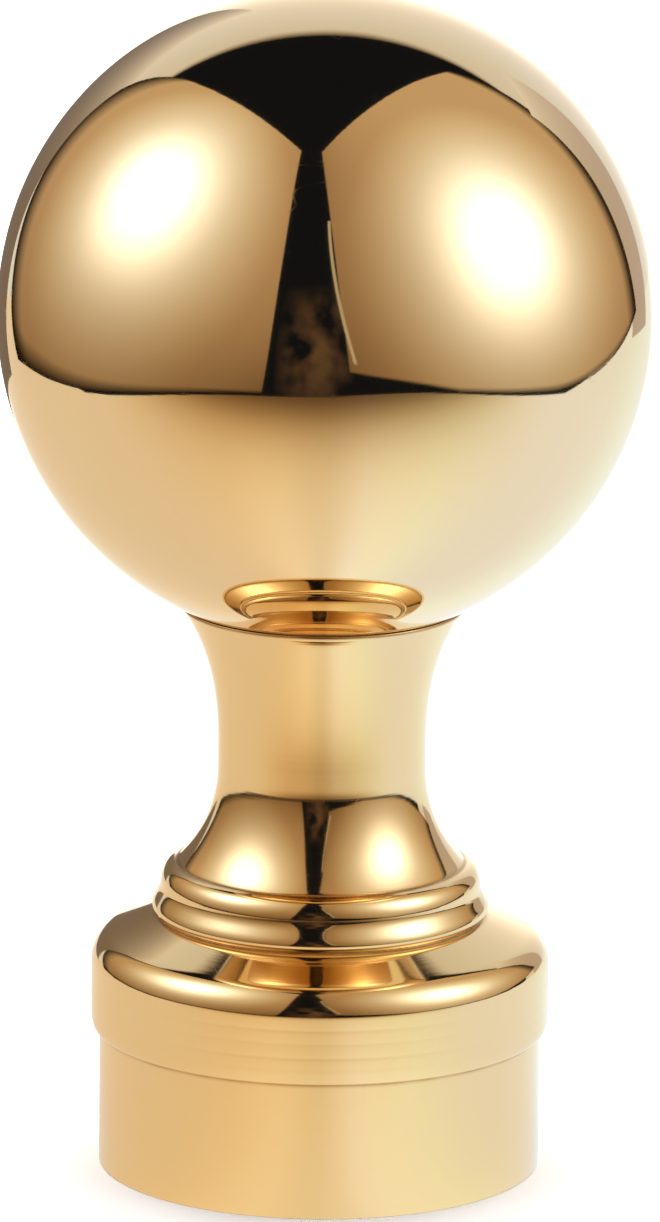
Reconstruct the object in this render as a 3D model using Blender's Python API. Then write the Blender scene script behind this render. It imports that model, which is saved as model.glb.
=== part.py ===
# Flagpole finial in polished brass: a ball on a spun neck, with a sleeve that slips over the pole.
# The frame is in metres with +Z up, and its origin is the centre of the foot.

import math

import bpy
from mathutils import Vector

# Ball and the tube that the finial fits
BALL_DIAMETER = 0.0760
POLE_DIAMETER = 0.0483
POLE_CLEARANCE = 0.0006
PIECE_GAP = 0.0003

# Socket sleeve
SLEEVE_WALL = 0.0010
SLEEVE_SHOWING = 0.01625
SLEEVE_TUCKED = 0.0068
FOOT_ROUND = 0.00025

# Wall of the spun neck, and its rim from the lip up to the rolled edge
NECK_WALL = 0.0007
LEAST_WALL_SHARE = 0.9  # inner points nearer to the outside than this share of the wall are left out
LIP_HEIGHT = 0.0018
LIP_THICKNESS = 0.0002
RIM_HEIGHT = 0.0060
ROLL_RADIUS = 0.0040
ROLL_TURN = math.radians(66.0)
SHOULDER_WIDTH = 0.0053

# Two soft rings above the shoulder: how far each form stands out from the one beside it, and its height
LOWER_RING_OVERHANG = 0.0006
LOWER_RING_UNDERSIDE = 0.0007
RING_STEP = 0.0010
RING_SPACING = 0.0028
UPPER_RING_SHELF = 0.0019
UPPER_RING_RISE = 0.00253

# Bell, waist and the flare that holds the ball
BELL_SPREAD = 0.00463
BELL_HEIGHT = 0.0115
WAIST_HEIGHT = 0.0018
FLARE_SPREAD = 0.00435
FLARE_HEIGHT = 0.0174
FLARE_POWER = 2.6

# Fineness of the facets
TURN_STEPS = 48
BALL_RINGS = 24
OUTSIDE_STEPS = 2
INSIDE_STEPS = 1
REPEAT_DISTANCE = 0.000001
MERGE_DISTANCE = 0.00001

# Polished brass as it shows in daylight
BRASS_COLOUR = (0.83, 0.59, 0.28, 1.0)
BRASS_ROUGHNESS = 0.12
SOFT_ANGLE = math.radians(35.0)

# Radii that follow from the tube: sleeve over the pole, rim over the sleeve
SLEEVE_BORE_RADIUS = POLE_DIAMETER / 2 + POLE_CLEARANCE
SLEEVE_RADIUS = SLEEVE_BORE_RADIUS + SLEEVE_WALL
RIM_BORE_RADIUS = SLEEVE_RADIUS + PIECE_GAP
RIM_RADIUS = RIM_BORE_RADIUS + NECK_WALL

# Radii of the neck that follow from the rim, each from the one below it
ROLL_END_RADIUS = RIM_RADIUS - ROLL_RADIUS * (1 - math.cos(ROLL_TURN))
RING_FOOT_RADIUS = ROLL_END_RADIUS - SHOULDER_WIDTH
LOWER_CREST_RADIUS = RING_FOOT_RADIUS + LOWER_RING_OVERHANG
UPPER_CREST_RADIUS = LOWER_CREST_RADIUS - RING_STEP
RING_TOP_RADIUS = UPPER_CREST_RADIUS - UPPER_RING_SHELF
WAIST_RADIUS = RING_TOP_RADIUS - BELL_SPREAD
FLARE_RADIUS = WAIST_RADIUS + FLARE_SPREAD

# Heights that follow from each other, from the lip up to the top of the flare
LIP_TOP = SLEEVE_SHOWING + LIP_HEIGHT
RIM_TOP = LIP_TOP + RIM_HEIGHT
ROLL_END = RIM_TOP + ROLL_RADIUS * math.sin(ROLL_TURN)
RING_FOOT = ROLL_END + SHOULDER_WIDTH / math.tan(ROLL_TURN)
LOWER_CREST = RING_FOOT + LOWER_RING_UNDERSIDE
UPPER_CREST = LOWER_CREST + RING_SPACING
RING_TOP = UPPER_CREST + UPPER_RING_RISE
WAIST_FOOT = RING_TOP + BELL_HEIGHT
WAIST_TOP = WAIST_FOOT + WAIST_HEIGHT
FLARE_TOP = WAIST_TOP + FLARE_HEIGHT

# The ball rests in the flare, a gap away from its edge
BALL_RADIUS = BALL_DIAMETER / 2
SEAT_RADIUS = BALL_RADIUS + PIECE_GAP
BALL_CENTRE = FLARE_TOP + math.sqrt(SEAT_RADIUS ** 2 - FLARE_RADIUS ** 2)


def clear_scene():
    # Starts from a scene with nothing in it
    for thing in list(bpy.data.objects):
        bpy.data.objects.remove(thing, do_unlink=True)


def make_brass(name):
    # Polished brass, with a material of its own for each piece
    brass = bpy.data.materials.new(name)
    brass.use_nodes = True
    shader = brass.node_tree.nodes["Principled BSDF"]
    shader.inputs["Base Color"].default_value = BRASS_COLOUR
    shader.inputs["Metallic"].default_value = 1.0
    shader.inputs["Roughness"].default_value = BRASS_ROUGHNESS
    return brass


def smooth(piece):
    # Smooth shading that keeps the true corners sharp
    piece.data.shade_smooth()
    piece.data.set_sharp_from_angle(angle=SOFT_ANGLE)


def arc(centre, radius, start, end, steps):
    # Points and outward normals along a round stretch, from one angle to the other
    stretch = []
    for step in range(steps + 1):
        angle = start + (end - start) * step / steps
        normal = Vector((math.cos(angle), math.sin(angle)))
        stretch.append((Vector(centre) + radius * normal, normal))
    return stretch


def quarter_ellipse(crest, depth, rise, start, end, steps):
    # Points and outward normals from one angle to the other on an ellipse that stands upright at its crest
    stretch = []
    for step in range(steps + 1):
        angle = start + (end - start) * step / steps
        point = Vector((crest.x - depth * (1 - math.cos(angle)), crest.y + rise * math.sin(angle)))
        normal = Vector((math.cos(angle) / depth, math.sin(angle) / rise)).normalized()
        stretch.append((point, normal))
    return stretch


def ring_slope(steps):
    # Between the two crests the radius grows downwards as half a cosine wave
    stretch = []
    for step in range(steps + 1):
        share = step / steps
        radius = UPPER_CREST_RADIUS + RING_STEP * (1 - math.cos(math.pi * share)) / 2
        slope = RING_STEP / RING_SPACING * math.pi / 2 * math.sin(math.pi * share)
        stretch.append((Vector((radius, UPPER_CREST - RING_SPACING * share)), Vector((1.0, slope)).normalized()))
    return stretch


def rings(fineness):
    # From the fold under the bell: over the upper crest, down the slope, and in under the lower crest
    upper = quarter_ellipse(Vector((UPPER_CREST_RADIUS, UPPER_CREST)), UPPER_RING_SHELF, UPPER_RING_RISE,
                            math.pi / 2, 0.0, 1 + fineness)
    lower = quarter_ellipse(Vector((LOWER_CREST_RADIUS, LOWER_CREST)), LOWER_RING_OVERHANG, LOWER_RING_UNDERSIDE,
                            0.0, -math.pi / 2, 1 + fineness)
    return upper[:-1] + ring_slope(2 + fineness) + lower[1:]


def bell(steps):
    # A hollow curve from the straight waist out to the top of the upper ring, on one circle
    radius = (BELL_HEIGHT ** 2 + BELL_SPREAD ** 2) / (2 * BELL_SPREAD)
    sweep = math.asin(BELL_HEIGHT / radius)
    centre = (WAIST_RADIUS + radius, WAIST_FOOT)
    stretch = arc(centre, radius, math.pi, math.pi + sweep, steps)
    return [(point, -normal) for point, normal in stretch]


def flare(steps):
    # From the top edge down to the waist: the radius grows with a power of the height
    stretch = []
    for step in range(steps + 1):
        share = 1 - step / steps
        point = Vector((WAIST_RADIUS + FLARE_SPREAD * share ** FLARE_POWER, WAIST_TOP + FLARE_HEIGHT * share))
        slope = FLARE_POWER * FLARE_SPREAD * share ** (FLARE_POWER - 1) / FLARE_HEIGHT
        stretch.append((point, Vector((1.0, -slope)).normalized()))
    return stretch


def neck_outside(fineness):
    # The whole outer side from the flare's edge down to the top of the lip, with its outward normals.
    # In the fold under the lower ring the line turns on one point, where only its normals sweep round.
    fold = arc((RING_FOOT_RADIUS, RING_FOOT), 0.0, -math.pi / 2, ROLL_TURN, 2 + 2 * fineness)
    roll = arc((RIM_RADIUS - ROLL_RADIUS, RIM_TOP), ROLL_RADIUS, ROLL_TURN, 0.0, 1 + 2 * fineness)
    rim = [(Vector((RIM_RADIUS, LIP_TOP)), Vector((1.0, 0.0)))]
    return flare(4 * fineness) + bell(3 * fineness) + rings(fineness) + fold + roll + rim


def without_repeats(points):
    # Drops a point that lies on the one before it
    kept = []
    for point in points:
        if not kept or (point - kept[-1]).length > REPEAT_DISTANCE:
            kept.append(point)
    return kept


def lip(steps):
    # The rim's lower edge, closed in towards the sleeve along a quarter ellipse
    depth = NECK_WALL - LIP_THICKNESS
    points = []
    for step in range(1, steps + 1):
        angle = step / steps * math.pi / 2
        radius = RIM_RADIUS - depth * (1 - math.cos(angle))
        points.append(Vector((radius, LIP_TOP - LIP_HEIGHT * math.sin(angle))))
    return points


def seat(outer_radius, inner_radius, steps):
    # The flare's top edge follows the ball at the named gap
    points = []
    for step in range(1, steps):
        radius = inner_radius + (outer_radius - inner_radius) * step / steps
        points.append(Vector((radius, BALL_CENTRE - math.sqrt(SEAT_RADIUS ** 2 - radius ** 2))))
    return points


def wall_beside(inner, outside):
    # The least distance from a point inside to the straight stretches of the outer line
    distances = []
    for start, end in zip(outside, outside[1:]):
        along = end - start
        share = min(1.0, max(0.0, (inner - start).dot(along) / along.length_squared))
        distances.append((start + share * along - inner).length)
    return min(distances)


def neck_profile():
    # A closed outline: down the outside, round the lip, and up the inside at the wall's thickness
    outside = without_repeats([point for point, normal in neck_outside(OUTSIDE_STEPS)])
    least_wall = LEAST_WALL_SHARE * NECK_WALL
    inside = []
    for point, normal in reversed(neck_outside(INSIDE_STEPS)[:-1]):
        inner = point - NECK_WALL * normal
        under_ball = (inner - Vector((0.0, BALL_CENTRE))).length > SEAT_RADIUS
        if under_ball and wall_beside(inner, outside) > least_wall:
            inside.append(inner)
    last_radius = inside[-1].x
    ball_height = BALL_CENTRE - math.sqrt(SEAT_RADIUS ** 2 - last_radius ** 2)
    inside.append(Vector((last_radius, ball_height)))
    edge = [Vector((RIM_BORE_RADIUS, SLEEVE_SHOWING))]
    points = outside + lip(4) + edge + inside + seat(FLARE_RADIUS, last_radius, 2)
    return without_repeats(points)


def sleeve_profile():
    # A closed outline: down the outside, round the foot, across its flat, and up the bore
    top = SLEEVE_SHOWING + SLEEVE_TUCKED
    points = [Vector((SLEEVE_RADIUS, top))]
    foot = arc((SLEEVE_RADIUS - FOOT_ROUND, FOOT_ROUND), FOOT_ROUND, 0.0, -math.pi / 2, 3)
    points += [point for point, normal in foot]
    points += [Vector((SLEEVE_BORE_RADIUS, 0.0)), Vector((SLEEVE_BORE_RADIUS, top))]
    return points


def turned_piece(name, profile):
    # Spins a closed outline about the upright axis into one closed body
    count = len(profile)
    mesh = bpy.data.meshes.new(name)
    mesh.from_pydata([(point.x, 0.0, point.y) for point in profile],
                     [(index, (index + 1) % count) for index in range(count)], [])
    piece = bpy.data.objects.new(name, mesh)
    bpy.context.collection.objects.link(piece)
    screw = piece.modifiers.new("Turn", "SCREW")
    screw.axis = "Z"
    screw.angle = 2 * math.pi
    screw.steps = TURN_STEPS
    screw.render_steps = TURN_STEPS
    screw.use_merge_vertices = True
    screw.merge_threshold = MERGE_DISTANCE
    screw.use_smooth_shade = True
    mesh.materials.append(make_brass(name))
    return piece


def make_ball():
    # The ball, as a closed sphere
    bpy.ops.mesh.primitive_uv_sphere_add(segments=TURN_STEPS, ring_count=BALL_RINGS, radius=BALL_RADIUS,
                                         location=(0.0, 0.0, BALL_CENTRE))
    ball = bpy.context.object
    ball.name = "ball"
    ball.data.name = "ball"
    smooth(ball)
    ball.data.materials.append(make_brass("ball"))
    return ball


def main():
    clear_scene()
    make_ball()
    turned_piece("neck", neck_profile())
    turned_piece("socket_sleeve", sleeve_profile())


main()
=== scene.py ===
# Flagpole finial in polished brass: a round ball in the flared top of a spun neck, over a plain pole sleeve.
# Everything is in metres, +Z up, with the origin at the centre of the foot.
import math

import bpy
import numpy as np
from mathutils import Matrix, Vector


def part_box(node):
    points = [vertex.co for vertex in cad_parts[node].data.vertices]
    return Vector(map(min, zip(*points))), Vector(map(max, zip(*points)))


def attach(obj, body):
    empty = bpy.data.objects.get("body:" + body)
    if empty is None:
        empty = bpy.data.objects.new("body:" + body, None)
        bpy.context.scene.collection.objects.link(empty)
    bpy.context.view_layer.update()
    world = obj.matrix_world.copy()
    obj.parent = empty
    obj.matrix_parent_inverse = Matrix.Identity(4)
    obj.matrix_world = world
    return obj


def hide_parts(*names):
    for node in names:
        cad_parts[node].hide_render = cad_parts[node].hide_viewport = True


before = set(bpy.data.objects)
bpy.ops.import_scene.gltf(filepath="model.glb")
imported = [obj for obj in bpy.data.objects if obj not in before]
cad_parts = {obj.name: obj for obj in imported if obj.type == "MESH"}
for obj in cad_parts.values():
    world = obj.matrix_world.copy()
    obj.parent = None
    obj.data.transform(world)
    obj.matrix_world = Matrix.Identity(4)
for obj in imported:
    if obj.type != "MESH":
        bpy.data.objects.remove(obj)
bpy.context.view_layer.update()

print("stage 1: packed model loaded")


# Shared mesh helpers
# (arrays only: a profile is an n x 2 array of radius and height)

def evenlySpaced(profile, spacing):
    # walks along the profile and puts a point every so far: position = interpolation over arc length
    steps = np.hypot(*np.diff(profile, axis=0).T)
    walked = np.concatenate([[0.0], np.cumsum(steps)])
    places = np.linspace(0.0, walked[-1], max(3, int(walked[-1] / spacing)))
    return np.column_stack([np.interp(places, walked, profile[:, k]) for k in (0, 1)])


def softened(profile, spacing, width):
    # each point becomes the average of its neighbours under a bell-shaped weight exp(-(d/width)^2 / 2)
    reach = int(4 * width / spacing) + 1
    offsets = np.arange(-reach, reach + 1) * spacing
    weights = np.exp(-(offsets / width) ** 2 / 2)
    weights /= weights.sum()
    columns = []
    for k in (0, 1):
        first, last = profile[0, k], profile[-1, k]
        before = 2 * first - profile[reach:0:-1, k]
        after = 2 * last - profile[-2:-reach - 2:-1, k]
        columns.append(np.convolve(np.concatenate([before, profile[:, k], after]), weights, "valid"))
    return np.column_stack(columns)


def profileNormals(profile):
    # outward normal of a profile that runs downwards on the outside: the tangent turned a quarter turn
    tangent = np.gradient(profile, axis=0)
    tangent /= np.linalg.norm(tangent, axis=1)[:, None]
    return np.column_stack([-tangent[:, 1], tangent[:, 0]])


def thinned(profile, count, curveShare):
    # keeps count points, closer together where the profile bends: density = 1 + share x bend
    steps = np.hypot(*np.diff(profile, axis=0).T)
    tangent = np.diff(profile, axis=0) / steps[:, None]
    turning = np.zeros(len(profile))
    turning[1:-1] = np.abs(np.diff(np.unwrap(np.arctan2(tangent[:, 1], tangent[:, 0]))))
    walked = np.concatenate([[0.0], np.cumsum(steps)])
    bent = np.cumsum(turning)
    measure = walked / walked[-1] + curveShare * bent / max(bent[-1], 1e-9)
    places = np.interp(np.linspace(0.0, measure[-1], count), measure, walked)
    return np.column_stack([np.interp(places, walked, profile[:, k]) for k in (0, 1)])


def turnedMesh(name, profile, turns, closed, wave=None, insideFrom=None):
    # surface of revolution: point(k, a) = (r_k cos a, r_k sin a, z_k), plus an optional small radial wave
    angles = np.arange(turns) * 2 * math.pi / turns
    radius = np.repeat(profile[:, 0][:, None], turns, axis=1)
    height = np.repeat(profile[:, 1][:, None], turns, axis=1)
    if wave is not None:
        radius = radius + np.where(radius > 1e-7, wave(angles[None, :], height), 0.0)
    points = np.stack([radius * np.cos(angles), radius * np.sin(angles), height], axis=-1)
    rows = len(profile)
    if closed:
        vertices = points.reshape(-1, 3)
        first = np.arange(rows)
        below = (first + 1) % rows
    else:
        # the first and last rows are single points on the axis
        vertices = np.concatenate([points[0, :1], points[1:-1].reshape(-1, 3), points[-1, :1]])
        first = np.arange(rows - 3)
        below = first + 1
    column = np.arange(turns)
    nextColumn = (column + 1) % turns
    start = 0 if closed else 1
    quads = np.stack([start + first[:, None] * turns + column, start + below[:, None] * turns + column,
                      start + below[:, None] * turns + nextColumn,
                      start + first[:, None] * turns + nextColumn], axis=-1).reshape(-1, 4)
    faces = quads.tolist()
    if not closed:
        lastRow = 1 + (rows - 3) * turns
        bottom = len(vertices) - 1
        faces += np.column_stack([np.zeros(turns, int), 1 + column, 1 + nextColumn]).tolist()
        faces += np.column_stack([lastRow + column, np.full(turns, bottom), lastRow + nextColumn]).tolist()
    mesh = bpy.data.meshes.new(name)
    mesh.from_pydata(vertices.tolist(), [], faces)
    mesh.shade_smooth()
    if insideFrom is not None:
        inside = np.repeat(insideFrom.astype(np.float32), turns)
        mesh.attributes.new("insideShare", "FLOAT", "POINT").data.foreach_set("value", inside)
    mesh.update()
    piece = bpy.data.objects.new(name, mesh)
    bpy.context.scene.collection.objects.link(piece)
    return piece


def gridMesh(name, points):
    # open sheet through an m x n x 3 array of points, with its two parameters kept as a UV map
    rows, columns = points.shape[:2]
    index = np.arange(rows * columns).reshape(rows, columns)
    quads = np.stack([index[:-1, :-1], index[1:, :-1], index[1:, 1:], index[:-1, 1:]], axis=-1).reshape(-1, 4)
    mesh = bpy.data.meshes.new(name)
    mesh.from_pydata(points.reshape(-1, 3).tolist(), [], quads.tolist())
    along, across = np.meshgrid(np.linspace(0, 1, rows), np.linspace(0, 1, columns), indexing="ij")
    uv = np.column_stack([along.reshape(-1), across.reshape(-1)])[quads.reshape(-1)]
    mesh.uv_layers.new(name="sheet").data.foreach_set("uv", uv.reshape(-1).astype(np.float32))
    mesh.shade_smooth()
    sheet = bpy.data.objects.new(name, mesh)
    bpy.context.scene.collection.objects.link(sheet)
    return sheet


# Node helpers

def addNode(tree, kind, values=None, **settings):
    node = tree.nodes.new(kind)
    for key, value in settings.items():
        setattr(node, key, value)
    for key, value in (values or {}).items():
        node.inputs[key].default_value = value
    return node


def calculate(tree, operation, first, second=None, clamp=False):
    # one Math node; numbers and sockets both work as inputs
    node = addNode(tree, "ShaderNodeMath", operation=operation, use_clamp=clamp)
    for socket, value in zip(node.inputs, (first, second)):
        if value is None:
            continue
        if isinstance(value, (int, float)):
            socket.default_value = value
        else:
            tree.links.new(value, socket)
    return node.outputs[0]


def startGroup(name, inputs, outputs):
    # a node group whose inputs are (name, socket type, default value)
    group = bpy.data.node_groups.new(name, "ShaderNodeTree")
    for label, kind, value in inputs:
        socket = group.interface.new_socket(name=label, in_out="INPUT", socket_type=kind)
        socket.default_value = value
    for label, kind in outputs:
        group.interface.new_socket(name=label, in_out="OUTPUT", socket_type=kind)
    return group, group.nodes.new("NodeGroupInput"), group.nodes.new("NodeGroupOutput")


def useGroup(tree, group, **values):
    node = tree.nodes.new("ShaderNodeGroup")
    node.node_tree = group
    for key, value in values.items():
        node.inputs[key].default_value = value
    return node


floatSocket = "NodeSocketFloat"


def makeTurningLines():
    # fine rings left by spinning and buffing: noise over radius and height that stays the same round the axis
    group, given, result = startGroup("turningLines", [("linesPerMetre", floatSocket, 2500.0)],
                                      [("height", floatSocket)])
    coordinates = addNode(group, "ShaderNodeTexCoord")
    split = addNode(group, "ShaderNodeSeparateXYZ")
    group.links.new(coordinates.outputs["Object"], split.inputs[0])
    squares = calculate(group, "ADD", calculate(group, "MULTIPLY", split.outputs[0], split.outputs[0]),
                        calculate(group, "MULTIPLY", split.outputs[1], split.outputs[1]))
    radius = calculate(group, "SQRT", squares)
    joined = addNode(group, "ShaderNodeCombineXYZ")
    group.links.new(calculate(group, "MULTIPLY", radius, given.outputs[0]), joined.inputs[0])
    group.links.new(calculate(group, "MULTIPLY", split.outputs[2], given.outputs[0]), joined.inputs[1])
    rings = addNode(group, "ShaderNodeTexNoise", {"Scale": 1.0, "Detail": 2.0, "Roughness": 0.6})
    group.links.new(joined.outputs[0], rings.inputs["Vector"])
    group.links.new(rings.outputs["Fac"], result.inputs[0])
    return group


def makePolishHaze():
    # clouds where the buffing is a little less bright, with small smudges inside them
    group, given, result = startGroup("polishHaze", [("cloudScale", floatSocket, 40.0),
                                                     ("low", floatSocket, 0.02), ("high", floatSocket, 0.06)],
                                      [("roughness", floatSocket), ("cloud", floatSocket)])
    coordinates = addNode(group, "ShaderNodeTexCoord")
    clouds = addNode(group, "ShaderNodeTexNoise", {"Detail": 4.0, "Roughness": 0.55, "Distortion": 0.4})
    group.links.new(coordinates.outputs["Object"], clouds.inputs["Vector"])
    group.links.new(given.outputs[0], clouds.inputs["Scale"])
    smudges = addNode(group, "ShaderNodeTexNoise", {"Detail": 3.0, "Roughness": 0.7})
    group.links.new(coordinates.outputs["Object"], smudges.inputs["Vector"])
    group.links.new(calculate(group, "MULTIPLY", given.outputs[0], 9.0), smudges.inputs["Scale"])
    both = calculate(group, "ADD", calculate(group, "MULTIPLY", clouds.outputs["Fac"], 0.7),
                     calculate(group, "MULTIPLY", smudges.outputs["Fac"], 0.3))
    spread = addNode(group, "ShaderNodeMapRange", {"From Min": 0.35, "From Max": 0.68})
    group.links.new(both, spread.inputs["Value"])
    group.links.new(given.outputs[1], spread.inputs["To Min"])
    group.links.new(given.outputs[2], spread.inputs["To Max"])
    group.links.new(spread.outputs[0], result.inputs[0])
    group.links.new(both, result.inputs[1])
    return group


def makeHairScratches():
    # hair-fine handling scratches: thin lines where a stretched, bent noise crosses its middle value
    group, given, result = startGroup("hairScratches", [("scale", floatSocket, 90.0),
                                                        ("fineness", floatSocket, 0.004)],
                                      [("mask", floatSocket)])
    coordinates = addNode(group, "ShaderNodeTexCoord")
    masks = []
    for turn, stretch in (((0.4, 0.2, 0.9), (1.0, 0.09, 1.0)), ((1.3, 0.8, 2.1), (0.08, 1.0, 1.0))):
        placed = addNode(group, "ShaderNodeMapping", {"Rotation": turn, "Scale": stretch})
        group.links.new(coordinates.outputs["Object"], placed.inputs[0])
        strands = addNode(group, "ShaderNodeTexNoise", {"Detail": 1.0, "Roughness": 0.5, "Distortion": 0.6})
        group.links.new(placed.outputs[0], strands.inputs["Vector"])
        group.links.new(given.outputs[0], strands.inputs["Scale"])
        away = calculate(group, "ABSOLUTE", calculate(group, "SUBTRACT", strands.outputs["Fac"], 0.5))
        share = calculate(group, "DIVIDE", away, given.outputs[1])
        near = calculate(group, "SUBTRACT", 1.0, share, clamp=True)
        masks.append(near)
    group.links.new(calculate(group, "MAXIMUM", masks[0], masks[1]), result.inputs[0])
    return group


def makePaintedFoldShade():
    # painted shade in a fold: darker brass in a bell-shaped band round one height and radius, exp(-(d /
    # width)^2), broken up by noise
    group, given, result = startGroup("paintedFoldShade", [("height", floatSocket, 0.0),
                                                        ("radius", floatSocket, 0.02),
                                                        ("width", floatSocket, 0.0005)],
                                      [("mask", floatSocket)])
    coordinates = addNode(group, "ShaderNodeTexCoord")
    split = addNode(group, "ShaderNodeSeparateXYZ")
    group.links.new(coordinates.outputs["Object"], split.inputs[0])
    squares = calculate(group, "ADD", calculate(group, "MULTIPLY", split.outputs[0], split.outputs[0]),
                        calculate(group, "MULTIPLY", split.outputs[1], split.outputs[1]))
    outwards = calculate(group, "DIVIDE",
                         calculate(group, "SUBTRACT", calculate(group, "SQRT", squares), given.outputs[1]),
                         given.outputs[2])
    upwards = calculate(group, "DIVIDE", calculate(group, "SUBTRACT", split.outputs[2], given.outputs[0]),
                        given.outputs[2])
    distance = calculate(group, "ADD", calculate(group, "MULTIPLY", outwards, outwards),
                         calculate(group, "MULTIPLY", upwards, upwards))
    band = calculate(group, "EXPONENT", calculate(group, "MULTIPLY", distance, -1.0))
    patchiness = addNode(group, "ShaderNodeTexNoise", {"Scale": 260.0, "Detail": 3.0})
    group.links.new(coordinates.outputs["Object"], patchiness.inputs["Vector"])
    group.links.new(calculate(group, "MULTIPLY", band, calculate(group, "ADD", patchiness.outputs["Fac"], 0.35)),
                    result.inputs[0])
    return group


turningLines = makeTurningLines()
polishHaze = makePolishHaze()
hairScratches = makeHairScratches()
paintedFoldShade = makePaintedFoldShade()
print("stage 2: finish groups made")

brass = {
    # the dark brown of the painted shade in the folds
    "foldShadeColour": (0.34, 0.17, 0.055, 1.0),
    "unpolished": (0.62, 0.43, 0.20, 1.0),
    "foldShadeDullness": 0.22,
    "insideDullness": 0.3,
}


def makeBrass(name, finish, creases=()):
    # polished brass: colour clouds, haze and scratches in the roughness, turning lines in the bump,
    # painted shade in the folds, and a dull satin where the piece's insideShare is 1
    material = bpy.data.materials.new(name)
    material.use_nodes = True
    tree = material.node_tree
    shader = tree.nodes["Principled BSDF"]
    shader.inputs["Metallic"].default_value = 1.0
    haze = useGroup(tree, polishHaze, cloudScale=finish["cloudScale"], low=finish["smooth"],
                    high=finish["dull"])
    scratches = useGroup(tree, hairScratches, scale=finish["scratchScale"],
                         fineness=finish["scratchFineness"])
    rings = useGroup(tree, turningLines, linesPerMetre=finish["linesPerMetre"])

    tone = mixColour(tree, finish["bright"], finish["deep"])
    tree.links.new(haze.outputs["cloud"], tone.inputs[0])
    colour = tone.outputs[2]

    foldShade = None
    for height, radius, width in creases:
        fold = useGroup(tree, paintedFoldShade, height=height, radius=radius, width=width)
        foldShade = fold.outputs[0] if foldShade is None else calculate(tree, "MAXIMUM", foldShade, fold.outputs[0])
    roughness = calculate(tree, "ADD", haze.outputs["roughness"],
                          calculate(tree, "MULTIPLY", scratches.outputs[0], finish["scratchDullness"]))
    if foldShade is not None:
        # painted shade: the brass in the folds is mixed towards a dark brown and made a little rougher
        darker = mixColour(tree, None, brass["foldShadeColour"])
        tree.links.new(calculate(tree, "MULTIPLY", foldShade, finish["foldShade"], clamp=True), darker.inputs[0])
        tree.links.new(colour, darker.inputs[6])
        colour = darker.outputs[2]
        roughness = calculate(tree, "ADD", roughness,
                              calculate(tree, "MULTIPLY", foldShade, brass["foldShadeDullness"]))

    inside = addNode(tree, "ShaderNodeAttribute", attribute_name="insideShare")
    plain = mixColour(tree, None, brass["unpolished"])
    tree.links.new(inside.outputs["Fac"], plain.inputs[0])
    tree.links.new(colour, plain.inputs[6])
    tree.links.new(plain.outputs[2], shader.inputs["Base Color"])
    dullInside = calculate(tree, "MULTIPLY", inside.outputs["Fac"], brass["insideDullness"])
    roughness = calculate(tree, "ADD", roughness, dullInside, clamp=True)
    tree.links.new(roughness, shader.inputs["Roughness"])

    bump = addNode(tree, "ShaderNodeBump", {"Strength": finish["ringStrength"],
                                            "Distance": finish["ringDepth"]})
    tree.links.new(rings.outputs[0], bump.inputs["Height"])
    tree.links.new(bump.outputs[0], shader.inputs["Normal"])
    return material


def mixColour(tree, first, second):
    # colour mix: socket 0 is the share, 6 and 7 are the colours, output 2 is the result
    node = addNode(tree, "ShaderNodeMix", data_type="RGBA")
    if first is not None:
        node.inputs[6].default_value = first
    if second is not None:
        node.inputs[7].default_value = second
    return node


# Ball

ballLow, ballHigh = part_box("ball")
ball = {
    "centre": (ballLow.z + ballHigh.z) / 2,
    "radius": (ballHigh.z - ballLow.z) / 2,
    "turns": 320,
    "rings": 200,
    "wave": 0.000009,  # how far the spun sheet strays from true
}
ballFinish = {
    "bright": (0.93, 0.71, 0.41, 1.0), "deep": (0.91, 0.67, 0.36, 1.0),
    "cloudScale": 34.0, "smooth": 0.030, "dull": 0.050,
    "scratchScale": 70.0, "scratchFineness": 0.0022, "scratchDullness": 0.05,
    "linesPerMetre": 1500.0, "ringStrength": 0.05, "ringDepth": 0.00002, "foldShade": 0.8,
}


def ballWave(angle, height):
    # slow dents of the spun sheet: a sum of long waves round the axis and along the height
    share = (height - ball["centre"]) / ball["radius"]
    fade = np.sqrt(np.clip(1 - share ** 2, 0, 1))
    waves = (np.sin(5 * angle + 7 * share + 0.6) + 0.7 * np.sin(9 * angle - 11 * share + 2.1)
             + 0.6 * np.sin(3 * angle + 17 * share + 4.0))
    return ball["wave"] * waves * fade


def makeBall():
    # meridian of a sphere: (r, z) = (R sin t, centre + R cos t), from the top to the bottom
    turn = np.linspace(0, math.pi, ball["rings"] + 1)
    profile = np.column_stack([ball["radius"] * np.sin(turn), ball["centre"] + ball["radius"] * np.cos(turn)])
    profile[[0, -1], 0] = 0.0
    return turnedMesh("polishedBall", profile, ball["turns"], closed=False, wave=ballWave)


# Neck

neckLow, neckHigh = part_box("neck")
neck = {
    "lipTop": neckLow.z + 0.0018,
    "rimRadius": neckHigh.x,
    "lipDepth": 0.0005,
    "wall": 0.0007,
    "rimHeight": 0.0060,
    "rollRadius": 0.0040,
    "rollTurn": math.radians(66.0),
    "shoulderWidth": 0.0053,
    "lowerRing": {"overhang": 0.0006, "underside": 0.0007},
    "ringStep": 0.0010,
    "ringSpacing": 0.0028,
    "upperRing": {"shelf": 0.0019, "rise": 0.00253},
    "bellSpread": 0.00463,
    "bellHeight": 0.0115,
    "waistHeight": 0.0018,
    "flareSpread": 0.00435,
    "flareHeight": 0.0174,
    "flarePower": 2.6,
    "seatGap": 0.00006,
    "creaseSoftness": 0.00022,
    "innerSoftness": 0.0008,
    "edgeRound": 0.00012,
    "innerFoot": 0.0015,  # the hollow starts this far above the lip, over a straight bore
    "boreRise": 0.0008,
    "spacing": 0.00002,
    # faint lines on the rim: height above the lip, depth and width
    "rimLines": ((0.0033, 0.000016, 0.00022), (0.0050, 0.000012, 0.00022),
                 (0.0066, 0.000014, 0.00022)),
    "lipLine": (0.0019, 0.000014, 0.00034),
    "turns": 240,
    "wave": 0.000006,
}
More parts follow.
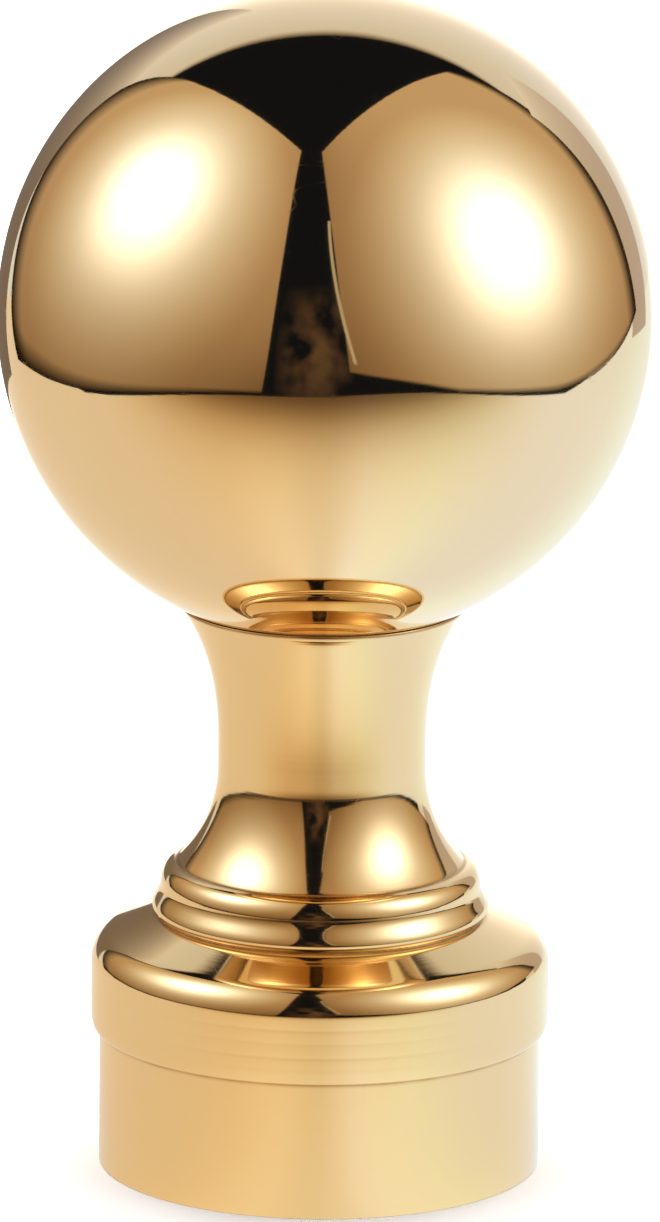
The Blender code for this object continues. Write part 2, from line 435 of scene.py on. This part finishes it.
neckFinish = {
    "bright": (0.93, 0.68, 0.35, 1.0), "deep": (0.91, 0.63, 0.29, 1.0),
    "cloudScale": 46.0, "smooth": 0.058, "dull": 0.092,
    "scratchScale": 90.0, "scratchFineness": 0.0022, "scratchDullness": 0.06,
    "linesPerMetre": 2600.0, "ringStrength": 0.12, "ringDepth": 0.00002, "foldShade": 0.85,
}

# heights and radii that follow from the sizes above, from the rim up
rimTop = neck["lipTop"] + neck["rimHeight"]
rollEndRadius = neck["rimRadius"] - neck["rollRadius"] * (1 - math.cos(neck["rollTurn"]))
rollEnd = rimTop + neck["rollRadius"] * math.sin(neck["rollTurn"])
ringFootRadius = rollEndRadius - neck["shoulderWidth"]
ringFoot = rollEnd + neck["shoulderWidth"] / math.tan(neck["rollTurn"])
lowerCrestRadius = ringFootRadius + neck["lowerRing"]["overhang"]
lowerCrest = ringFoot + neck["lowerRing"]["underside"]
upperCrestRadius = lowerCrestRadius - neck["ringStep"]
upperCrest = lowerCrest + neck["ringSpacing"]
ringTopRadius = upperCrestRadius - neck["upperRing"]["shelf"]
ringTop = upperCrest + neck["upperRing"]["rise"]
waistRadius = ringTopRadius - neck["bellSpread"]
waistFoot = ringTop + neck["bellHeight"]
waistTop = waistFoot + neck["waistHeight"]
flareRadius = waistRadius + neck["flareSpread"]
flareTop = waistTop + neck["flareHeight"]


def quarterEllipse(radius, height, depth, rise, start, end, count=60):
    # from one angle to the other on an ellipse upright at its crest: (R - d (1 - cos t), h + rise sin t)
    turn = np.linspace(start, end, count)
    return np.column_stack([radius - depth * (1 - np.cos(turn)), height + rise * np.sin(turn)])


def neckOutside():
    # the outer line from the flare's edge down to the lip: power curve, straight waist, circle, two soft
    # rings joined by half a cosine wave, cone, rolled edge, straight rim and a quarter ellipse for the lip
    share = np.linspace(1, 0, 200)
    flare = np.column_stack([waistRadius + neck["flareSpread"] * share ** neck["flarePower"],
                             waistTop + neck["flareHeight"] * share])
    bellRadius = (neck["bellHeight"] ** 2 + neck["bellSpread"] ** 2) / (2 * neck["bellSpread"])
    turn = np.linspace(0, math.asin(neck["bellHeight"] / bellRadius), 120)
    bell = np.column_stack([waistRadius + bellRadius * (1 - np.cos(turn)),
                            waistFoot - bellRadius * np.sin(turn)])
    quarter = math.pi / 2
    upper = quarterEllipse(upperCrestRadius, upperCrest, neck["upperRing"]["shelf"],
                           neck["upperRing"]["rise"], quarter, 0)
    share = np.linspace(0, 1, 80)
    slope = np.column_stack([upperCrestRadius + neck["ringStep"] * (1 - np.cos(math.pi * share)) / 2,
                             upperCrest - neck["ringSpacing"] * share])
    lower = quarterEllipse(lowerCrestRadius, lowerCrest, neck["lowerRing"]["overhang"],
                           neck["lowerRing"]["underside"], 0, -quarter)
    roll = quarterEllipse(neck["rimRadius"], rimTop, neck["rollRadius"], neck["rollRadius"],
                          neck["rollTurn"], 0, 80)
    lip = quarterEllipse(neck["rimRadius"], neck["lipTop"], neck["lipDepth"],
                         neck["lipTop"] - neckLow.z, 0, -quarter)
    return np.concatenate([flare, bell, upper, slope, lower, roll, lip])


def neckWave(angle, height):
    # slow dents of the spun wall
    return neck["wave"] * (np.sin(3 * angle + 140 * height) + 0.8 * np.sin(7 * angle - 260 * height + 1.3))


def makeNeck():
    # closed outline: down the outside, round the lip, up the inside a wall's thickness in, and over the seat
    spacing = neck["spacing"]
    outside = neckOutside()
    repeated = np.hypot(*np.diff(outside, axis=0).T) > 1e-9
    outside = outside[np.concatenate([[True], repeated])]
    outside = evenlySpaced(outside, spacing)
    smoothOutside = softened(outside, spacing, neck["creaseSoftness"])
    onRim = smoothOutside[:, 1] < rimTop
    for rise, depth, width in neck["rimLines"] + (neck["lipLine"],):
        cut = depth * np.exp(-((smoothOutside[:, 1] - neckLow.z - rise) / width) ** 2)
        smoothOutside[:, 0] -= np.where(onRim, cut, 0.0)

    middle = softened(outside, spacing, neck["innerSoftness"])
    inner = middle - neck["wall"] * profileNormals(middle)
    seatRadius = ball["radius"] + neck["seatGap"]
    clear = np.hypot(inner[:, 0], inner[:, 1] - ball["centre"]) > seatRadius
    clear &= inner[:, 1] > neckLow.z + neck["innerFoot"]
    inner = inner[clear][::-1]
    bore = neck["rimRadius"] - neck["wall"]
    edge = np.array([[bore, neckLow.z]])
    lowerBore = np.array([[bore, neckLow.z + neck["boreRise"]]])
    seatStart = inner[-1, 0]
    seatLine = np.linspace(seatStart, flareRadius - neck["edgeRound"], 14)
    seat = np.column_stack([seatLine, ball["centre"] - np.sqrt(seatRadius ** 2 - seatLine ** 2)])

    # the flare's edge is eased where the seat meets the outside
    top = smoothOutside[smoothOutside[:, 1] < seat[-1, 1] - neck["edgeRound"]]
    ease = np.linspace(0, 1, 7)[1:-1, None]
    corner = np.array([[flareRadius, seat[-1, 1]]])
    eased = (1 - ease) ** 2 * seat[-1:] + 2 * ease * (1 - ease) * corner + ease ** 2 * top[:1]

    outer = thinned(top, 290, 2.2)
    inner = thinned(inner, 70, 1.0)
    profile = np.concatenate([outer, edge, lowerBore, inner, seat, eased])
    inside = np.zeros(len(profile))
    inside[len(outer) + 1:len(outer) + 2 + len(inner)] = 1.0
    return turnedMesh("spunNeck", profile, neck["turns"], closed=True, wave=neckWave, insideFrom=inside)


# Pole sleeve

sleeveLow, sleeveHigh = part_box("socket_sleeve")
sleeve = {
    "radius": sleeveHigh.x,
    "wall": 0.0010,
    "foot": sleeveLow.z,
    "top": sleeveHigh.z,
    "footRound": 0.00025,
    "edgeRound": 0.00012,
    "turns": 320,
    "wave": 0.000008,
}
sleeveFinish = {
    "bright": (0.93, 0.67, 0.34, 1.0), "deep": (0.91, 0.63, 0.29, 1.0),
    "cloudScale": 38.0, "smooth": 0.060, "dull": 0.100,
    "scratchScale": 80.0, "scratchFineness": 0.0024, "scratchDullness": 0.07,
    "linesPerMetre": 2200.0, "ringStrength": 0.14, "ringDepth": 0.00002, "foldShade": 0.7,
}


def sleeveWave(angle, height):
    # the tube is a hair out of round
    return sleeve["wave"] * (np.sin(4 * angle + 0.8) + 0.6 * np.sin(11 * angle + 60 * height))


def quarterTurn(centre, radius, start, count=7):
    # a quarter circle, clockwise from the start angle: centre + radius (cos, sin)
    turn = start - np.linspace(0, math.pi / 2, count)
    return np.column_stack([centre[0] + radius * np.cos(turn), centre[1] + radius * np.sin(turn)])


def makeSleeve():
    # closed outline: down the outside, round the foot, across its flat, up the bore and over the top
    outer, bore = sleeve["radius"], sleeve["radius"] - sleeve["wall"]
    foot, fine = sleeve["footRound"], sleeve["edgeRound"]
    down = np.linspace(sleeve["top"] - fine, sleeve["foot"] + foot, 60)[1:-1]
    up = np.linspace(sleeve["foot"] + fine, sleeve["top"] - fine, 24)[1:-1]
    outside = np.concatenate([
        quarterTurn((outer - fine, sleeve["top"] - fine), fine, math.pi / 2),
        np.column_stack([np.full(len(down), outer), down]),
        quarterTurn((outer - foot, sleeve["foot"] + foot), foot, 0.0)])
    within = np.concatenate([
        quarterTurn((bore + fine, sleeve["foot"] + fine), fine, -math.pi / 2),
        np.column_stack([np.full(len(up), bore), up]),
        quarterTurn((bore + fine, sleeve["top"] - fine), fine, math.pi)])
    profile = np.concatenate([outside, within])
    inside = np.concatenate([np.zeros(len(outside)), np.ones(len(within))])
    return turnedMesh("poleSleeve", profile, sleeve["turns"], closed=True, wave=sleeveWave, insideFrom=inside)


# folds that get painted shade: height, radius and width
ballFolds = [(flareTop, flareRadius, 0.0003)]
neckFolds = [(flareTop, flareRadius, 0.00018), (ringTop, ringTopRadius, 0.00030),
             (ringFoot, ringFootRadius, 0.00045)]
sleeveFolds = [(neckLow.z - 0.0001, sleeve["radius"], 0.0003)]

pieces = (
    (makeBall(), "ball", "ball_brass", makeBrass("ballBrass", ballFinish, ballFolds)),
    (makeNeck(), "neck", "neck_brass", makeBrass("neckBrass", neckFinish, neckFolds)),
    (makeSleeve(), "socket_sleeve", "sleeve_brass", makeBrass("sleeveBrass", sleeveFinish, sleeveFolds)),
)
for piece, node, slot, material in pieces:
    piece.data.materials.append(material)
    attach(piece, "root")
    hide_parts(node)
    print("piece", piece.name, len(piece.data.vertices), "points")
print("stage 3: pieces made")


# Studio
# Two white tent panels lean over the table, with a dark opening in front and overhead, a white wall behind,
# and a grey sheet beside the back edge of each panel; the darker left one is painted shade.

studio = {
    "lookFrom": Vector((0.0, 0.0, 0.10)),
    "tableCentre": 0.006, "tableHalf": 0.302, "tableFront": 0.385, "tableCorner": 2.6,
    "wallBack": 0.62,
}


def tableEdge(angle):
    # where a ray from the table's middle leaves it: superellipse |x/a|^p + |y/b|^p = 1, angle from the front
    across, ahead = np.sin(angle), -np.cos(angle)
    power = studio["tableCorner"]
    reach = (np.abs(across / studio["tableHalf"]) ** power
             + np.abs(ahead / studio["tableFront"]) ** power) ** (-1 / power)
    return np.stack([studio["tableCentre"] + reach * across, reach * ahead], axis=-1)


def throughThree(first, middle, last, share):
    # the parabola through three points at shares 0, 1/2 and 1
    share = np.asarray(share)[..., None]
    return ((1 - share) * (1 - 2 * share) * np.asarray(first) + 4 * share * (1 - share) * np.asarray(middle)
            + share * (2 * share - 1) * np.asarray(last))


def glow(name, build):
    # a material that only shines; build(tree, shine) sets its colour and strength
    material = bpy.data.materials.new(name)
    material.use_nodes = True
    tree = material.node_tree
    tree.nodes.clear()
    output = addNode(tree, "ShaderNodeOutputMaterial")
    shine = addNode(tree, "ShaderNodeEmission")
    tree.links.new(shine.outputs[0], output.inputs["Surface"])
    build(tree, shine)
    return material


def colourSteps(tree, value, steps):
    # smooth colour ramp through the given (place, colour) steps
    ramp = addNode(tree, "ShaderNodeValToRGB")
    ramp.color_ramp.interpolation = "B_SPLINE"
    while len(ramp.color_ramp.elements) < len(steps):
        ramp.color_ramp.elements.new(0.5)
    for element, (place, colour) in zip(ramp.color_ramp.elements, steps):
        element.position = place
        element.color = (*colour, 1.0)
    tree.links.new(value, ramp.inputs[0])
    return ramp.outputs[0]


def timesColour(tree, first, second):
    # product of two colours
    node = addNode(tree, "ShaderNodeMix", {0: 1.0}, data_type="RGBA", blend_type="MULTIPLY")
    tree.links.new(first, node.inputs[6])
    tree.links.new(second, node.inputs[7])
    return node.outputs[2]


def placeOf(tree, kind="Object"):
    # the coordinates of a point, split into their parts
    coordinates = addNode(tree, "ShaderNodeTexCoord")
    split = addNode(tree, "ShaderNodeSeparateXYZ")
    tree.links.new(coordinates.outputs[kind], split.inputs[0])
    return split.outputs


def between(tree, value, low, high):
    # 0 at low, 1 at high, straight between and level beyond
    share = addNode(tree, "ShaderNodeMapRange", {"From Min": low, "From Max": high})
    tree.links.new(value, share.inputs["Value"])
    return share.outputs[0]


def reflectedOnly(thing):
    # seen in the metal, but not by the camera and not lighting the floor
    thing.visible_camera = False
    thing.visible_diffuse = False
    thing.visible_shadow = False


panels = {
    "left": {
        "angles": (math.radians(-22), math.radians(-133)),
        "lift": 0.0, "liftEnd": 0.25, "backLift": 0.0,
        "middle": ((-0.116, -0.389, 0.302), (-0.370, -0.010, 0.330), (-0.324, 0.500, 0.267)),
        "top": ((-0.080, -0.205, 0.676), (-0.250, 0.085, 0.665), (-0.370, 0.374, 0.634)),
        "hot": (-0.360, -0.050, 0.360), "reach": 0.40,
        "lowDimming": 0.50, "frontDimming": 0.20, "gapShadeSharpness": 14.0, "backHem": 0.90,
    },
    "right": {
        "angles": (math.radians(7), math.radians(135)),
        "lift": 0.050, "liftEnd": 0.30, "backLift": 0.045,
        "middle": ((0.022, -0.371, 0.353), (0.410, -0.060, 0.330), (0.387, 0.354, 0.266)),
        "top": ((-0.016, -0.217, 0.680), (0.170, 0.080, 0.690), (0.319, 0.375, 0.666)),
        "hot": (0.386, -0.130, 0.290), "reach": 0.42,
        "lowDimming": 0.30, "frontDimming": 0.38, "gapShadeSharpness": 44.0, "backHem": 0.94,
    },
}
# the sheets' brightness from the lamp behind them outwards: white, then cool, then dim and warm
panelSteps = (
    (0.0, (1.0, 1.0, 1.0)), (0.18, (0.75, 0.80, 0.92)), (0.36, (0.38, 0.41, 0.48)),
    (0.56, (0.225, 0.228, 0.225)), (0.78, (0.180, 0.155, 0.118)), (1.0, (0.140, 0.102, 0.066)))
panelStrength = 4.0
panelFoot = 0.004  # the sheets' height above the table
dimTint = (1.0, 0.74, 0.50)
frontGapShadeSharpness = 50.0  # how much thinner the painted gap shade along the bottom is at the front
backHemLevel = 0.07


def makePanel(name, panel):
    # ruled tent sheet: its bottom follows the table's edge, and each upright line is a parabola
    along = np.linspace(0, 1, 90)
    upwards = np.linspace(0, 1, 60)
    angle = panel["angles"][0] + (panel["angles"][1] - panel["angles"][0]) * along
    bottom = np.concatenate([tableEdge(angle), np.full((len(along), 1), panelFoot)], axis=1)
    bottom[:, 2] += panel["lift"] * np.clip(1 - along / panel["liftEnd"], 0, 1) ** 1.2
    bottom[:, 2] += panel["backLift"] * np.clip((along - 0.6) / 0.4, 0, 1) ** 1.5
    middle = throughThree(*panel["middle"], along)
    top = throughThree(*panel["top"], along)
    share = upwards[None, :, None]
    points = ((1 - share) * (1 - 2 * share) * bottom[:, None] + 4 * share * (1 - share) * middle[:, None]
              + share * (2 * share - 1) * top[:, None])

    def build(tree, shine):
        coordinates = addNode(tree, "ShaderNodeTexCoord")
        away = addNode(tree, "ShaderNodeVectorMath", operation="DISTANCE")
        tree.links.new(coordinates.outputs["Object"], away.inputs[0])
        away.inputs[1].default_value = panel["hot"]
        share = calculate(tree, "DIVIDE", away.outputs["Value"], panel["reach"], clamp=True)
        colour = colourSteps(tree, share, panelSteps)
        u, v, _ = placeOf(tree, "UV")
        # dimmer and warmer towards the table and towards the front edge
        low = calculate(tree, "POWER", calculate(tree, "SUBTRACT", 1.0, v), 3.0)
        front = calculate(tree, "POWER", calculate(tree, "SUBTRACT", 1.0, u), 5.0)
        dimming = calculate(tree, "ADD", calculate(tree, "MULTIPLY", low, panel["lowDimming"]),
                            calculate(tree, "MULTIPLY", front, panel["frontDimming"]), clamp=True)
        tint = mixColour(tree, (1.0, 1.0, 1.0, 1.0), (*dimTint, 1.0))
        tree.links.new(dimming, tint.inputs[0])
        level = calculate(tree, "SUBTRACT", 1.0, dimming)
        # painted shade along the bottom for the dark gap between the sheet and the table, thicker towards the
        # back, and a brown hem of the frame at the back
        thinner = calculate(tree, "MULTIPLY", frontGapShadeSharpness, calculate(tree, "SUBTRACT", 1.0, u))
        gapShadeSharpness = calculate(tree, "ADD", panel["gapShadeSharpness"], thinner)
        bottomGapShade = calculate(tree, "MULTIPLY", v, gapShadeSharpness, clamp=True)
        backHem = calculate(tree, "MULTIPLY", between(tree, u, 0.985, panel["backHem"]), 1 - backHemLevel)
        gapShadeAndBackHem = calculate(tree, "MULTIPLY", bottomGapShade, calculate(tree, "ADD", backHemLevel, backHem))
        bright = calculate(tree, "MULTIPLY", gapShadeAndBackHem, level)
        tree.links.new(timesColour(tree, colour, tint.outputs[2]), shine.inputs["Color"])
        tree.links.new(calculate(tree, "MULTIPLY", bright, panelStrength), shine.inputs["Strength"])

    sheet = gridMesh(name, points)
    sheet.data.materials.append(glow(name, build))
    reflectedOnly(sheet)


table = {
    # brightness from the front edge to the wall
    "ends": (-0.39, 0.60),
    "steps": (
        (0.0, (0.050, 0.033, 0.020)), (0.08, (0.075, 0.050, 0.031)), (0.17, (0.185, 0.142, 0.092)),
        (0.27, (0.33, 0.315, 0.285)), (0.36, (0.36, 0.375, 0.41)), (0.50, (0.355, 0.375, 0.41)),
        (0.72, (0.33, 0.34, 0.36)), (1.0, (0.33, 0.34, 0.36))),
    # how it changes from left to right round the object
    "tints": (
        (0.0, (0.74, 0.66, 0.56)), (0.20, (0.83, 0.70, 0.53)), (0.36, (0.94, 0.86, 0.72)),
        (0.50, (0.76, 0.70, 0.58)), (0.62, (0.96, 0.97, 0.98)), (0.80, (0.92, 1.06, 1.32)),
        (1.0, (0.80, 0.84, 0.94))),
    "strength": 3.0,
    "laneStrength": 2.6,
    "laneSides": (0.42, 0.16),
    "laneEnds": (0.10, 0.30),
    "spreadBehind": 1.2,
}


def makeTable():
    # the part of the table that the metal reflects: rings of the superellipse, shrunk towards the middle,
    # drawn out behind into the wall
    angle = np.linspace(0, 2 * math.pi, 181)
    edge = tableEdge(angle)
    edge[:, 1] = np.where(edge[:, 1] > 0, edge[:, 1] * studio["wallBack"] / studio["tableFront"], edge[:, 1])
    behind = np.clip(edge[:, 1] / studio["wallBack"], 0, 1)
    edge[:, 0] *= 1 + table["spreadBehind"] * behind
    shrink = np.linspace(1.0, 0.02, 24)
    points = np.zeros((24, 181, 3))
    points[..., :2] = edge[None] * shrink[:, None, None]

    # painted light and shade: the table glows instead of being lit, darker and warmer at the front where less
    # light falls, and brighter to the right
    def build(tree, shine):
        x, y, _ = placeOf(tree)
        colour = colourSteps(tree, between(tree, y, *table["ends"]), table["steps"])
        squares = calculate(tree, "ADD", calculate(tree, "MULTIPLY", x, x), calculate(tree, "MULTIPLY", y, y))
        reach = calculate(tree, "SQRT", calculate(tree, "ADD", squares, 0.0001))
        sideways = calculate(tree, "DIVIDE", x, reach)
        tint = colourSteps(tree, between(tree, sideways, -1.0, 1.0), table["tints"])
        # painted light: a brighter lane runs straight back from the object
        aside = calculate(tree, "ABSOLUTE", sideways)
        lane = calculate(tree, "MULTIPLY", between(tree, aside, *table["laneSides"]),
                         between(tree, y, *table["laneEnds"]))
        strength = calculate(tree, "ADD", table["strength"],
                             calculate(tree, "MULTIPLY", lane, table["laneStrength"]))
        tree.links.new(timesColour(tree, colour, tint), shine.inputs["Color"])
        tree.links.new(strength, shine.inputs["Strength"])

    sheet = gridMesh("studioTable", points)
    sheet.data.materials.append(glow("studioTable", build))
    reflectedOnly(sheet)


wall = {
    "bottom": -0.25, "top": 0.97, "arch": 0.16,
    "halfWidth": 0.95, "narrowing": 0.45,
    "glowHeight": -0.055, "glowSquash": 1.9,
    # brightness outwards from the place straight behind the object
    "steps": (
        (0.0, (0.50, 0.50, 0.50)), (0.28, (0.48, 0.48, 0.48)), (0.46, (0.29, 0.29, 0.30)),
        (0.70, (0.245, 0.265, 0.295)), (1.0, (0.235, 0.245, 0.26))),
    # brown along the top
    "rail": ((0.90, (1.0, 1.0, 1.0)), (0.96, (0.42, 0.34, 0.26)), (1.0, (0.06, 0.045, 0.03))),
    "strength": 3.2,
}


def makeWall():
    # the white wall behind: a flat sheet that narrows upwards, with a low arch as its top edge,
    # top = highest - arch x share^2, half width = widest x (1 - narrowing x height share^2)
    across = np.linspace(-1, 1, 60)
    upwards = np.linspace(0, 1, 40)
    top = wall["top"] - wall["arch"] * across ** 2
    points = np.zeros((60, 40, 3))
    points[..., 0] = (across * wall["halfWidth"])[:, None] * (1 - wall["narrowing"] * upwards[None] ** 2)
    points[..., 1] = studio["wallBack"]
    points[..., 2] = wall["bottom"] + (top[:, None] - wall["bottom"]) * upwards[None]

    def build(tree, shine):
        x, _, z = placeOf(tree)
        aside = calculate(tree, "MULTIPLY", x, wall["glowSquash"])
        above = calculate(tree, "SUBTRACT", z, wall["glowHeight"])
        squares = calculate(tree, "ADD", calculate(tree, "MULTIPLY", aside, aside),
                            calculate(tree, "MULTIPLY", above, above))
        colour = colourSteps(tree, calculate(tree, "SQRT", squares), wall["steps"])
        _, v, _ = placeOf(tree, "UV")
        rail = colourSteps(tree, v, wall["rail"])
        tree.links.new(timesColour(tree, colour, rail), shine.inputs["Color"])
        shine.inputs["Strength"].default_value = wall["strength"]

    sheet = gridMesh("studioWall", points)
    sheet.data.materials.append(glow("studioWall", build))
    reflectedOnly(sheet)


# sheets by the panels' back edges: angles from straight behind, distance, and the height where they end
sideSheetPale = (0.80, 0.80, 0.82, 1.0)
sideSheets = {
    # painted shade: the dark left sheet stands where the table behind the left panel lies in shadow
    "left": {"angles": (math.radians(-11), math.radians(-36)), "distance": 0.33, "top": 0.290,
             "colour": (0.200, 0.160, 0.128)},
    "right": {"angles": (math.radians(33), math.radians(48)), "distance": 0.50, "top": 0.40,
              "colour": (0.51, 0.46, 0.45)},
}


def makeSideSheet(name, sideSheet):
    # part of an upright round tube, (d sin a, d cos a, h); it grows paler towards its top
    angle = np.linspace(*sideSheet["angles"], 24)
    height = np.linspace(-0.01, sideSheet["top"], 12)
    points = np.zeros((24, 12, 3))
    points[..., 0] = (sideSheet["distance"] * np.sin(angle))[:, None]
    points[..., 1] = (sideSheet["distance"] * np.cos(angle))[:, None]
    points[..., 2] = height[None]

    def build(tree, shine):
        _, v, _ = placeOf(tree, "UV")
        pale = mixColour(tree, (*sideSheet["colour"], 1.0), sideSheetPale)
        tree.links.new(calculate(tree, "POWER", v, 4.0), pale.inputs[0])
        tree.links.new(pale.outputs[2], shine.inputs["Color"])

    sheet = gridMesh(name, points)
    sheet.data.materials.append(glow(name, build))
    reflectedOnly(sheet)


def ribbon(name, line, width):
    # a narrow upright sheet: the line's points, and the same points moved aside by the width
    spine = throughThree(*np.asarray(line), np.linspace(0, 1, 24))
    shift = np.linspace(0.0, width, 8)[None, :, None] * np.array([1.0, 0.0, 0.0])
    return gridMesh(name, spine[:, None] + shift)


darkRoom = (0.0065, 0.0080, 0.0125, 1.0)
pole = {
    "line": ((0.060, -0.372, 0.075), (0.020, -0.365, 0.250), (0.004, -0.330, 0.420)), "width": 0.007,
    "colour": (1.0, 0.88, 0.68, 1.0), "strength": 0.5,
}
frontGlow = {
    "line": ((-0.150, -0.480, -0.060), (-0.145, -0.480, 0.100), (-0.120, -0.480, 0.300)), "width": 0.230,
    "colour": (0.115, 0.070, 0.042, 1.0), "glowPatchScale": 14.0, "glowPatchSpan": (0.36, 0.66),
}


def makePole():
    # the bright edge of the right panel's frame
    def build(_, shine):
        shine.inputs["Color"].default_value = pole["colour"]
        shine.inputs["Strength"].default_value = pole["strength"]

    edge = ribbon("panelPole", pole["line"], pole["width"])
    edge.data.materials.append(glow("panelPole", build))
    reflectedOnly(edge)


def makeFrontGlow():
    # painted glow: brown patches of dim light low in the front opening, from noise that fades to the four
    # sides as (1 - (2u - 1)^2) (1 - (2v - 1)^2)
    def build(tree, shine):
        coordinates = addNode(tree, "ShaderNodeTexCoord")
        smudges = addNode(tree, "ShaderNodeTexNoise", {"Scale": frontGlow["glowPatchScale"], "Detail": 2.0})
        tree.links.new(coordinates.outputs["Object"], smudges.inputs["Vector"])
        level = between(tree, smudges.outputs["Fac"], *frontGlow["glowPatchSpan"])
        for share in placeOf(tree, "UV")[:2]:
            middle = calculate(tree, "SUBTRACT", calculate(tree, "MULTIPLY", share, 2.0), 1.0)
            fade = calculate(tree, "SUBTRACT", 1.0, calculate(tree, "MULTIPLY", middle, middle))
            level = calculate(tree, "MULTIPLY", level, fade)
        brown = mixColour(tree, darkRoom, frontGlow["colour"])
        tree.links.new(level, brown.inputs[0])
        tree.links.new(brown.outputs[2], shine.inputs["Color"])

    smudged = ribbon("frontGlow", frontGlow["line"], frontGlow["width"])
    smudged.data.materials.append(glow("frontGlow", build))
    reflectedOnly(smudged)


for side, panel in panels.items():
    makePanel(side + "Panel", panel)
makeTable()
makeWall()
for side, sideSheet in sideSheets.items():
    makeSideSheet(side + "SideSheet", sideSheet)
makePole()
makeFrontGlow()


floorSheet = {"halfSize": 12.0, "colour": (0.92, 0.92, 0.92, 1.0), "roughness": 0.9}
overheadLight = {"place": (0.0, 0.3, 2.4), "size": 2.4, "energy": 150.0}


def makeFloor():
    # the pale floor under the object, a flat square seen by the camera from above only
    line = np.linspace(-floorSheet["halfSize"], floorSheet["halfSize"], 3)
    points = np.zeros((3, 3, 3))
    points[..., 0], points[..., 1] = line[:, None], line[None, :]
    floor = gridMesh("paleFloor", points)
    material = bpy.data.materials.new("paleFloor")
    material.use_nodes = True
    tree = material.node_tree
    shader = tree.nodes["Principled BSDF"]
    shader.inputs["Base Color"].default_value = floorSheet["colour"]
    shader.inputs["Roughness"].default_value = floorSheet["roughness"]
    shader.inputs["Specular IOR Level"].default_value = 0.0
    clear = addNode(tree, "ShaderNodeBsdfTransparent")
    side = addNode(tree, "ShaderNodeNewGeometry")
    choose = addNode(tree, "ShaderNodeMixShader")
    tree.links.new(side.outputs["Backfacing"], choose.inputs[0])
    tree.links.new(shader.outputs[0], choose.inputs[1])
    tree.links.new(clear.outputs[0], choose.inputs[2])
    tree.links.new(choose.outputs[0], tree.nodes["Material Output"].inputs["Surface"])
    floor.data.materials.append(material)
    floor.visible_glossy = False
    floor.visible_diffuse = False


def makeLight(name, place, size, energy):
    # a soft square lamp that shines at the object but isn't mirrored in it
    lamp = bpy.data.lights.new(name, "AREA")
    lamp.shape = "SQUARE"
    lamp.size = size
    lamp.energy = energy
    lit = bpy.data.objects.new(name, lamp)
    lit.location = place
    lit.rotation_mode = "QUATERNION"
    lit.rotation_quaternion = (Vector(place) - studio["lookFrom"]).to_track_quat("Z", "Y")
    lit.visible_glossy = False
    lit.visible_camera = False
    bpy.context.scene.collection.objects.link(lit)


makeFloor()
makeLight("overheadLight", **overheadLight)


def makeWorld():
    # pale to the camera, near black in the metal
    world = bpy.data.worlds.new("studio")
    world.use_nodes = True
    tree = world.node_tree
    tree.nodes.clear()
    output = addNode(tree, "ShaderNodeOutputWorld")
    seen = addNode(tree, "ShaderNodeBackground", {"Color": (1.0, 1.0, 1.0, 1.0), "Strength": 1.0})
    dark = addNode(tree, "ShaderNodeBackground", {"Color": darkRoom, "Strength": 1.0})
    path = addNode(tree, "ShaderNodeLightPath")
    choose = addNode(tree, "ShaderNodeMixShader")
    tree.links.new(path.outputs["Is Camera Ray"], choose.inputs[0])
    tree.links.new(dark.outputs[0], choose.inputs[1])
    tree.links.new(seen.outputs[0], choose.inputs[2])
    tree.links.new(choose.outputs[0], output.inputs["Surface"])
    bpy.context.scene.world = world


makeWorld()
bpy.context.scene.view_settings.view_transform = "Standard"
print("stage 4: studio made")


# Camera

camera = {
    "elevation": math.radians(14.0),
    "roll": math.radians(0.5),
    "distance": 1.6,
    "target": Vector((0.0, 0.0, 0.06965)),
    "pixelsPerMetre": 8614.0,
    "targetPixel": (323.4, 580.7),
    "frame": (660, 1222),
    "sensorWidth": 36.0,
}


def makeCamera():
    # looks along its own axis, moved sideways so that the target lands on its pixel of the frame
    lens = bpy.data.cameras.new("studioCamera")
    lens.sensor_width = camera["sensorWidth"]
    lens.lens = camera["pixelsPerMetre"] * camera["distance"] * lens.sensor_width / camera["frame"][1]
    lens.clip_start = 0.05
    lens.clip_end = 60.0
    eye = bpy.data.objects.new("studioCamera", lens)
    bpy.context.scene.collection.objects.link(eye)
    back = Vector((0.0, -math.cos(camera["elevation"]), math.sin(camera["elevation"])))
    level = Vector((1.0, 0.0, 0.0))
    straight = Vector((0.0, math.sin(camera["elevation"]), math.cos(camera["elevation"])))
    right = math.cos(camera["roll"]) * level + math.sin(camera["roll"]) * straight
    up = math.cos(camera["roll"]) * straight - math.sin(camera["roll"]) * level
    asideX = (camera["targetPixel"][0] - camera["frame"][0] / 2) / camera["pixelsPerMetre"]
    asideY = (camera["frame"][1] / 2 - camera["targetPixel"][1]) / camera["pixelsPerMetre"]
    place = camera["target"] + camera["distance"] * back - asideX * right - asideY * up
    eye.matrix_world = Matrix((
        (right.x, up.x, back.x, place.x), (right.y, up.y, back.y, place.y), (right.z, up.z, back.z, place.z),
        (0.0, 0.0, 0.0, 1.0)))
    bpy.context.scene.camera = eye


makeCamera()
print("stage 5: camera made")
